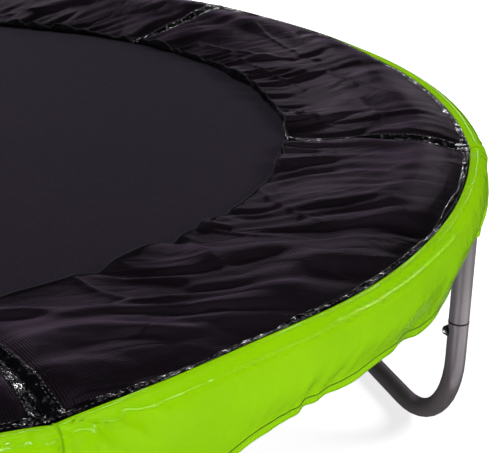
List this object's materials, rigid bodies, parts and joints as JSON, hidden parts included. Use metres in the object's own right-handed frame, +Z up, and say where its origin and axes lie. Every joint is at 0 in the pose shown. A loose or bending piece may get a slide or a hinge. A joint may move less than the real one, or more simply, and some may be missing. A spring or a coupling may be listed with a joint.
{
  "type": "garden trampoline",
  "caption": "Round garden trampoline: woven mat hung on coil springs in a tube ring on U-shaped legs, with a padded dark cover over the springs and a glossy green skirt round the rim.",
  "frame": {"origin": "on the ground, under the centre of the mat", "axes": "+Z up, out of the mat; +X through the middle of one U-leg"},
  "size_m": [2.5196, 2.5196, 0.59],
  "materials": {
    "frame_paint": "satin grey coating on steel tube",
    "screw_chrome": "bright",
    "mat_mesh": "fine woven polypropylene",
    "edge_webbing": "stitched webbing",
    "spring_zinc": "zinc plated",
    "pad_cover": "satin coated woven fabric",
    "skirt_cover": "glossy coated vinyl"
  },
  "bodies": {
    "frame": {"top_rail_1": "frame_paint", "top_rail_2": "frame_paint", "top_rail_3": "frame_paint", "top_rail_4": "frame_paint", "top_rail_5": "frame_paint", "top_rail_6": "frame_paint", "t_joint_1": "frame_paint", "t_joint_2": "frame_paint", "t_joint_3": "frame_paint", "t_joint_4": "frame_paint", "t_joint_5": "frame_paint", "t_joint_6": "frame_paint", "leg_post_1": "frame_paint", "leg_post_2": "frame_paint", "leg_post_3": "frame_paint", "leg_post_4": "frame_paint", "leg_post_5": "frame_paint", "leg_post_6": "frame_paint", "u_leg_1": "frame_paint", "u_leg_2": "frame_paint", "u_leg_3": "frame_paint", "leg_screw_1": "screw_chrome", "leg_screw_2": "screw_chrome", "leg_screw_3": "screw_chrome", "leg_screw_4": "screw_chrome", "leg_screw_5": "screw_chrome", "leg_screw_6": "screw_chrome", "joint_screw_1": "screw_chrome", "joint_screw_2": "screw_chrome", "joint_screw_3": "screw_chrome", "joint_screw_4": "screw_chrome", "joint_screw_5": "screw_chrome", "joint_screw_6": "screw_chrome", "spring_1": "spring_zinc", "spring_2": "spring_zinc", "spring_3": "spring_zinc", "spring_4": "spring_zinc", "spring_5": "spring_zinc", "spring_6": "spring_zinc", "spring_7": "spring_zinc", "spring_8": "spring_zinc", "spring_9": "spring_zinc", "spring_10": "spring_zinc", "spring_11": "spring_zinc", "spring_12": "spring_zinc", "pad_panel_1": "pad_cover", "pad_panel_2": "pad_cover", "pad_panel_3": "pad_cover", "pad_panel_4": "pad_cover", "pad_panel_5": "pad_cover", "pad_panel_6": "pad_cover", "skirt_panel_1": "skirt_cover", "skirt_panel_2": "skirt_cover", "skirt_panel_3": "skirt_cover", "skirt_panel_4": "skirt_cover", "skirt_panel_5": "skirt_cover", "skirt_panel_6": "skirt_cover"},
    "mat_edge": {"mat_edge_band": "edge_webbing"},
    "mat_centre": {"jumping_mat": "mat_mesh"}
  },
  "joints": [
    {"name": "mat_edge_dip", "type": "slide", "parent": "frame", "child": "mat_edge", "axis": [0, 0, -1], "range_m": [0, 0.09], "stiffness_N_per_m": 6000, "springref_m": -0.012, "deforming": ["spring_1", "spring_2", "spring_3", "spring_4", "spring_5", "spring_6", "spring_7", "spring_8", "spring_9", "spring_10", "spring_11", "spring_12"]},
    {"name": "mat_centre_dip", "type": "slide", "parent": "mat_edge", "child": "mat_centre", "axis": [0, 0, -1], "range_m": [0, 0.18], "stiffness_N_per_m": 5000, "springref_m": -0.012}
  ],
  "couplings": [
    {"joint": "mat_edge_dip", "follows": "mat_centre_dip", "ratio": 0.5}
  ]
}
